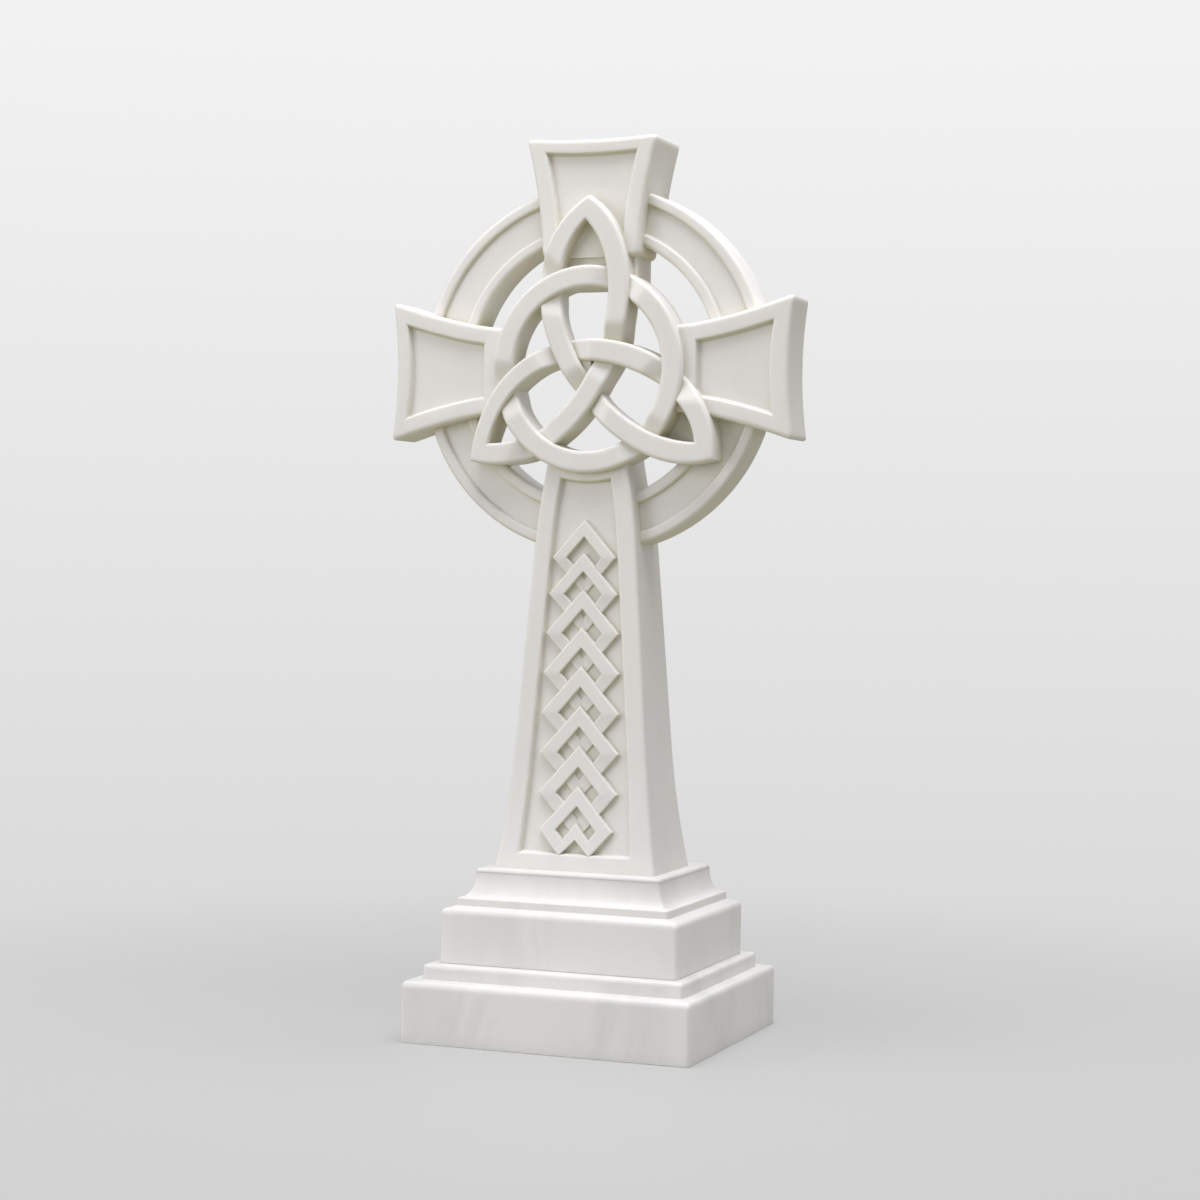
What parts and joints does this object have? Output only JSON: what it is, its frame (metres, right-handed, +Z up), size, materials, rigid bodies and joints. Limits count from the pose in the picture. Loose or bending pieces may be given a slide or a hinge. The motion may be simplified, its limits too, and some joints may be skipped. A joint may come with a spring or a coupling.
{
  "type": "celtic cross headstone",
  "caption": "Carved marble wheel cross with an openwork triquetra and circle knot, a lozenge chain on its shaft, and a stepped and moulded plinth.",
  "frame": {"origin": "middle of the lower plinth's underside, on the ground", "axes": "+Z up, the carved front faces -Y, +X to the viewer's right"},
  "size_m": [0.5725, 0.36, 1.2],
  "materials": {
    "lower_plinth_marble": "honed white marble",
    "upper_plinth_marble": "honed white marble",
    "cross_marble": "honed white marble"
  },
  "bodies": {
    "root": {"lower_plinth": "lower_plinth_marble", "upper_plinth": "upper_plinth_marble", "cross": "cross_marble"}
  },
  "joints": []
}
